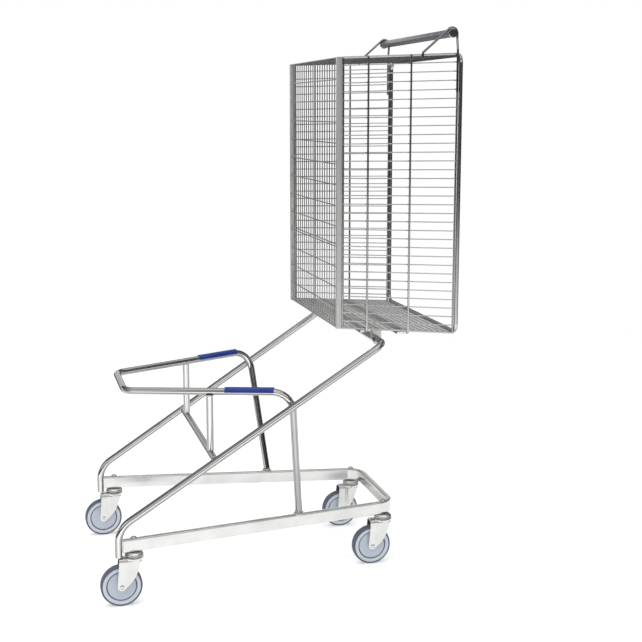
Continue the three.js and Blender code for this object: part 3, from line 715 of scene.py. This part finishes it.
def bracket_path(sign):
    """A foot on the roof edge, up and once over the grip, then down behind the side panel."""
    foot_x, foot_y, foot_z = BRACKET_FOOT
    rear_y = GRIP_Y + BRACKET_LOOP
    knee_z = top_z(foot_y) + BRACKET_ROD

    def turn_at(angle):
        return Vector((
            sign * BRACKET_X,
            GRIP_Y + BRACKET_LOOP * math.cos(angle),
            GRIP_Z + BRACKET_LOOP * math.sin(angle),
        ))

    reach_y, reach_z = GRIP_Y - foot_y, GRIP_Z - knee_z
    lean = math.atan2(reach_z, reach_y) + math.asin(BRACKET_LOOP / math.hypot(reach_y, reach_z))
    start = lean + math.pi / 2
    arm = [(sign * foot_x, foot_y, foot_z), (sign * foot_x, foot_y, knee_z), turn_at(start)]
    points, tangents = bent_path(arm, [0, BRACKET_KNEE, 0], 6)
    steps = 20
    for step in range(1, steps):
        angle = start * (1 - step / steps)
        points.append(turn_at(angle))
        tangents.append(Vector((0, math.sin(angle), -math.cos(angle))))
    leg_x = sign * BRACKET_LEG_X
    leg = [
        turn_at(0),
        (sign * BRACKET_X, rear_y, BRACKET_JOG[0]),
        (leg_x, rear_y, BRACKET_JOG[1]),
        (leg_x, rear_y, BRACKET_LEG_Z),
    ]
    leg_points, leg_tangents = bent_path(leg, [0, JOG_BEND, JOG_BEND, 0], 6)
    return points + leg_points, tangents + leg_tangents


for side, sign in SIDES.items():
    bracket = Solid()
    sweep(bracket, bracket_path(sign), circle_section(BRACKET_ROD, ROD_SIDES))
    bracket.make(f"grip_bracket_{side}_rod", ROD_PAINTED_DARK, slot="tube", replaces=[f"grip_bracket_{side}"])

# ---- casters -------------------------------------------------------------------------
FORK_HALF = 19.8                 # middle of each leg's wall from the wheel's middle plane
FORK_WALL = 2.5
FORK_TOP = 85                    # above the axle
FORK_SHOULDER = 9
FORK_TIP = 12
FORK_REAR_EDGE = [(9.2, -7.7), (24.5, 6), (41, 27), (53, 56), (62, 82), (62, 90)]
FORK_FRONT_EDGE = [(-12, 0), (-12, 8), (-6, 82), (-6, 90)]
RIB_START, RIB_END, RIB_HEIGHT = 16, 38, 2.4
RIB_FOOT, RIB_FADE = 4, 14       # above the axle, and how far up it takes to reach full height


def along_edge(edge, z):
    """The y of an edge line at height z, both from the axle."""
    for (y0, z0), (y1, z1) in zip(edge, edge[1:]):
        if z <= z1:
            return lerp(y0, y1, (z - z0) / (z1 - z0))
    return edge[-1][0]


def fork_span(z):
    tip = math.sqrt(max(0.0, FORK_TIP ** 2 - min(z, 0) ** 2))
    rear_y = tip if z < FORK_REAR_EDGE[0][1] else along_edge(FORK_REAR_EDGE, z)
    front_y = -tip if z < 0 else along_edge(FORK_FRONT_EDGE, z)
    return front_y, rear_y


def fork(x0, y0):
    """A bent plate: up one leg, over a rounded shoulder, across and down the other leg."""
    stations = []
    tip_steps = 8
    heights = [-FORK_TIP * math.cos(math.pi / 2 * (i + 0.15) / tip_steps) for i in range(tip_steps)]
    heights += [0, 4, 8, 14, 20, 27, 36, 46, 56, 66, FORK_TOP - FORK_SHOULDER]
    stations += [(-FORK_HALF, z, -1, 0) for z in heights]
    for step in range(1, 7):
        angle = math.pi / 2 * step / 6
        stations.append((
            -FORK_HALF + FORK_SHOULDER - FORK_SHOULDER * math.cos(angle),
            FORK_TOP - FORK_SHOULDER + FORK_SHOULDER * math.sin(angle),
            -math.cos(angle),
            math.sin(angle),
        ))
    stations += [(-x, z, -nx, nz) for x, z, nx, nz in reversed(stations)]
    across = 24
    outer_rows, inner_rows = [], []
    for x, z, nx, nz in stations:
        front_y, rear_y = fork_span(z)
        outer, inner = [], []
        for i in range(across + 1):
            y = lerp(front_y, rear_y, i / across)
            rise = 0
            if RIB_START < y < RIB_END:
                rise = math.sin(math.pi * (y - RIB_START) / (RIB_END - RIB_START))
            rise *= RIB_HEIGHT * min(1, max(0, (z - RIB_FOOT) / RIB_FADE)) * abs(nx)
            for row, side in ((outer, 1), (inner, -1)):
                shift = side * FORK_WALL / 2 + rise
                row.append((x0 + x + nx * shift, y0 - STEM_TRAIL + y, WHEEL_RADIUS + z + nz * shift))
        outer_rows.append(outer)
        inner_rows.append(inner)
    solid = Solid()
    solid.rings([outer + inner[::-1] for outer, inner in zip(outer_rows, inner_rows)])
    return solid


CROWN_PROFILE = [
    (5.4, 148.2), (26, 148.2), (28.4, 147.4), (28.8, 146), (28.8, 143.4), (29.4, 143),
    (29.4, 148), (28.8, 150.2), (26.6, 151), (25.6, 152.2), (23, 152.8), (5.4, 152.8),
]
RACE_PROFILE = [
    (5.4, 153.4), (24, 153.4), (27.2, 154), (28.4, 155.6), (28.4, 157.4), (27.4, 159), (25, 159.8),
    (24.2, 160.6), (24.2, 162), (23, 163.2), (20.6, 163.6), (20, 164.7), (5.4, 164.7),
]
NUT_PROFILE = [
    (0, 0), (8.7, 0), (9, 0.4), (8.9, 1.6), (8.3, 2.9), (7.1, 4.2), (5.4, 5.3), (3, 6.1), (0, 6.4),
]


AXLE_RADIUS = 4
SHANK_END = 0.2                  # into each head
HEAD_PROFILE = [(0, 0), (6.6, 0), (6.6, 0.9), (5.6, 2), (3.4, 2.6), (2.6, 1.9), (0, 1.7)]
TYRE_PROFILE = [
    (50.5, -12.6), (57, -12.6), (57.4, -14.2), (58.6, -14.8), (60, -14.3), (61.4, -12.6), (62.2, -10),
    (62.5, -6), (62.5, 6), (62.2, 10), (61.4, 12.6), (60, 14.3), (58.6, 14.8), (57.4, 14.2), (57, 12.6),
    (50.5, 12.6),
]
DISC_PROFILE = [
    (4.4, -12.4), (9, -13.4), (11, -13.4), (12, -12.4), (17, -11.4), (41, -11.4), (42.2, -11.8), (42.8, -7),
]
RIM_PROFILE = [
    (43, -6.6), (45.4, -7), (46, -13.4), (47.2, -14.4), (54.6, -14.4), (56.2, -13.8), (56.8, -12.6),
]
GROOVE_PROFILE = [(42.4, -9.4), (45.9, -9.4), (45.9, -6.6), (42.4, -6.6)]


for name, (x, y) in CASTERS.items():
    nut = Solid()
    lathe(nut, NUT_PROFILE, (x, y, RAIL_TOP_Z + 2 * GAP), sides=32)
    nut.make(f"dome_nut_{name}_head", BRIGHT, slot="tube", replaces=[f"dome_nut_{name}", f"stem_{name}"])
    race = Solid()
    ring_lathe(race, RACE_PROFILE, (x, y, 0))
    race.make(f"race_{name}_ring", BRIGHT, replaces=[f"race_{name}"])
    legs = fork(x, y)
    ring_lathe(legs, CROWN_PROFILE, (x, y, 0))
    legs.make(f"fork_{name}_plate", ZINC, f"caster_{name}", replaces=[f"fork_{name}"])
    centre = (x, y - STEM_TRAIL, WHEEL_RADIUS)
    bolt = Solid()
    reach = FORK_HALF + FORK_WALL / 2
    shank = reach + SHANK_END
    profile = [(0, -shank), (AXLE_RADIUS, -shank), (AXLE_RADIUS, shank), (0, shank)]
    lathe(bolt, profile, centre, "x", 24)
    for sign in (-1, 1):
        head = [(radius, sign * (reach + height)) for radius, height in HEAD_PROFILE]
        lathe(bolt, head[::sign], centre, "x", 32)
    bolt.make(f"axle_{name}_bolt", BRIGHT, f"caster_{name}", "tube", [f"axle_{name}"])
    rim = Solid()
    ring_lathe(rim, RIM_PROFILE + [(r, -h) for r, h in reversed(RIM_PROFILE)], centre, "x", 64)
    rim.make(f"rim_{name}_band", RIM, f"wheel_{name}", "rim", [f"rim_{name}"])
    disc = Solid()
    ring_lathe(disc, DISC_PROFILE + [(r, -h) for r, h in reversed(DISC_PROFILE)], centre, "x", 64)
    disc.make(f"rim_{name}_disc", DISC, f"wheel_{name}", "rim")
    groove = Solid()
    for sign in (-1, 1):
        ring_lathe(groove, [(r, -sign * h) for r, h in GROOVE_PROFILE][::-sign], centre, "x", 64)
    groove.make(f"rim_{name}_groove", TYRE, f"wheel_{name}", "tyre")
    tyre = Solid()
    ring_lathe(tyre, TYRE_PROFILE, centre, "x", 72)
    tyre.make(f"tyre_{name}_tread", TYRE, f"wheel_{name}", "tyre", [f"tyre_{name}"])

# ---- welds ---------------------------------------------------------------------------
welds = Solid()
BEAD = 1.3
SMALL_BEAD = 1.1
BEAD_RIPPLE, BEAD_RIPPLES = 0.18, 9  # how uneven a bead is, and how many times round it


def bead_ring(centre, axis, radius, bead=BEAD, sides=28):
    """A weld bead round a tube end, with a slightly uneven run."""
    axis = Vector(axis).normalized()
    u = axis.cross(off_axis(axis)).normalized()
    v = axis.cross(u)
    rings = []
    for i in range(sides):
        angle = 2 * math.pi * i / sides
        outward = u * math.cos(angle) + v * math.sin(angle)
        size = bead * (1 + BEAD_RIPPLE * math.sin(angle * BEAD_RIPPLES))
        middle = Vector(centre) + outward * radius
        rings.append([middle + outward * a + axis * b for a, b in circle_section(size, 8)])
    welds.rings(rings, closed=True)


for sign in SIDES.values():
    bead_ring((sign * (crossbar_half - 0.5), CROSSBAR_Y, crossbar_z), (1, 0, 0), TUBE)
    bead_ring((sign * POST_X, CROSSBAR_Y, crossbar_z + TUBE), (0, 0, 1), TUBE)
    bead_ring((sign * POST_X, CROSSBAR_Y, loop_point(sign, CROSSBAR_Y).z - TUBE), (0, 0, 1), TUBE)
    place = loop_foot(sign, 0)
    bead_ring((place.x, place.y, place.z + 0.6), (0, 0, 1), TUBE + 0.6, SMALL_BEAD)
bead_ring((0, TOP_BAR[1], TOP_BAR[2]), (1, 0, 0), TUBE - 0.4, 0.9)
for share in HOOP_SHARES.values():
    y = lerp(CAGE_FRONT["y"], CAGE_REAR["y"], share)
    for sign in SIDES.values():
        x = sign * (side_x(y) + PANEL_DEPTH / 2 + GAP)
        for height in (bottom_z(y) + RIM_ROD, top_z(y) - RIM_ROD):
            bead_ring((x, y, height), (1, 0, 0), RIM_ROD + 0.6, SMALL_BEAD, 16)
welds.make("weld_beads", WELD)

# ---- finishes of the CAD pieces that stay ---------------------------------------------
FINISHES = {
    "zinc": ZINC,
    "tube": CHROME,
    "wire": WIRES,
    "pad": BLUE,
    "grip": GRIP,
    "cap": CHROME,
    "tyre": TYRE,
    "rim": RIM,
}
slots = {entry["node"]: entry["material_slot"] for entry in frame["record"]["subparts"]}
for node, piece in frame["nodes"].items():
    piece.data.materials.clear()
    piece.data.materials.append(FINISHES[slots[node]])

# ---- studio --------------------------------------------------------------------------
FLOOR_HALF = 3.2
FLOOR_GLOW = 0.34
floor_mesh = bpy.data.meshes.new("floor")
floor_corners = [(FLOOR_HALF * a, FLOOR_HALF * b, 0) for a, b in ((-1, -1), (1, -1), (1, 1), (-1, 1))]
floor_mesh.from_pydata(floor_corners, [], [(0, 1, 2, 3)])
floor = bpy.data.objects.new("floor", floor_mesh)
bpy.context.scene.collection.objects.link(floor)
floor_look = surface("studio_floor", (0.90, 0.90, 0.90), (0.92, 0.92, 0.92), (0.75, 0.85), 0, 2, 60, 0)
glow = floor_look.node_tree.nodes["Principled BSDF"]
glow.inputs["Emission Color"].default_value = (1, 1, 1, 1)
glow.inputs["Emission Strength"].default_value = FLOOR_GLOW
floor_mesh.materials.append(floor_look)

world = bpy.data.worlds.new("studio")
bpy.context.scene.world = world
world.use_nodes = True
nodes, links = world.node_tree.nodes, world.node_tree.links
background = nodes["Background"]
direction = nodes.new("ShaderNodeTexCoord")
axes = nodes.new("ShaderNodeSeparateXYZ")
links.new(direction.outputs["Generated"], axes.inputs["Vector"])


def along_axis(output, stops):
    """Brightness from one component of the direction, whose range of -1 to 1 becomes 0 to 1."""
    share = nodes.new("ShaderNodeMapRange")
    share.inputs["From Min"].default_value = -1
    links.new(output, share.inputs["Value"])
    return ramp(nodes, links, share.outputs["Result"], [(place, (level,) * 3) for place, level in stops])


# Behind the camera: a pale floor, a dark band at the horizon, then pale walls with a dark gap.
NEAR_STOPS = [
    (0.0, 0.9), (0.375, 0.9), (0.42, 0.8), (0.455, 0.06), (0.595, 0.05), (0.63, 0.85), (0.80, 0.85),
    (0.85, 0.15), (0.89, 0.15), (0.92, 1.2), (1.0, 1.2),
]
# Behind the trolley: a dark floor, a white backdrop, a dark band over it, then the pale ceiling.
FAR_STOPS = [
    (0.0, 0.4), (0.35, 0.16), (0.49, 0.12), (0.51, 1.0), (0.64, 1.0), (0.69, 0.10), (0.84, 0.22),
    (0.92, 1.2), (1.0, 1.2),
]
SIDE_STOPS = [(0.35, 0.0), (0.62, 1.0)]
# Upright dark flags towards both ends of the studio, which the reflections are multiplied by.
STRIP_STOPS = [
    (0.0, 1.0), (0.20, 1.0), (0.25, 0.25), (0.30, 1.0), (0.78, 1.0), (0.82, 0.12), (0.90, 0.12),
    (0.94, 1.0),
]
sky_mix = nodes.new("ShaderNodeMix")
sky_mix.data_type = "RGBA"
links.new(along_axis(axes.outputs["X"], SIDE_STOPS), sky_mix.inputs["Factor"])
links.new(along_axis(axes.outputs["Z"], FAR_STOPS), sky_mix.inputs["A"])
links.new(along_axis(axes.outputs["Z"], NEAR_STOPS), sky_mix.inputs["B"])
strip = nodes.new("ShaderNodeMix")
strip.data_type = "RGBA"
strip.blend_type = "MULTIPLY"
strip.inputs["Factor"].default_value = 1
links.new(sky_mix.outputs["Result"], strip.inputs["A"])
links.new(along_axis(axes.outputs["Y"], STRIP_STOPS), strip.inputs["B"])
sky = strip.outputs["Result"]
path = nodes.new("ShaderNodeLightPath")
mixer = nodes.new("ShaderNodeMix")
mixer.data_type = "RGBA"
mixer.inputs["B"].default_value = (1, 1, 1, 1)
links.new(path.outputs["Is Camera Ray"], mixer.inputs["Factor"])
links.new(sky, mixer.inputs["A"])
links.new(mixer.outputs["Result"], background.inputs["Color"])
background.inputs["Strength"].default_value = 1.0


def softbox(name, place, target, size, power):
    light = bpy.data.lights.new(name, "AREA")
    light.shape = "RECTANGLE"
    light.size, light.size_y = size
    light.energy = power
    lamp = bpy.data.objects.new(name, light)
    lamp.visible_glossy = False
    lamp.location = place
    lamp.rotation_euler = (Vector(target) - Vector(place)).to_track_quat("-Z", "Y").to_euler()
    bpy.context.scene.collection.objects.link(lamp)


softbox("key", (2.6, -2.6, 3.4), (0, 0, 0.7), (2.4, 1.6), 62)
softbox("fill", (2.8, 2.8, 2.2), (0, 0, 0.8), (1.6, 2.2), 30)
softbox("top", (-0.6, 0, 4.2), (0, 0, 0.8), (3.5, 2.5), 34)

# ---- camera --------------------------------------------------------------------------
CAMERA_PLACE = (3.6738, -0.7876, 1.4557)
CAMERA_LOOK = (-0.9502, 0.2573, -0.1759)
camera_data = bpy.data.cameras.new("camera")
camera_data.sensor_width = 36
camera_data.lens = 66.04
camera_data.clip_end = 100
camera = bpy.data.objects.new("camera", camera_data)
camera.location = CAMERA_PLACE
camera.rotation_euler = Vector(CAMERA_LOOK).to_track_quat("-Z", "Y").to_euler()
bpy.context.scene.collection.objects.link(camera)
bpy.context.scene.camera = camera
bpy.context.scene.view_settings.view_transform = "Standard"
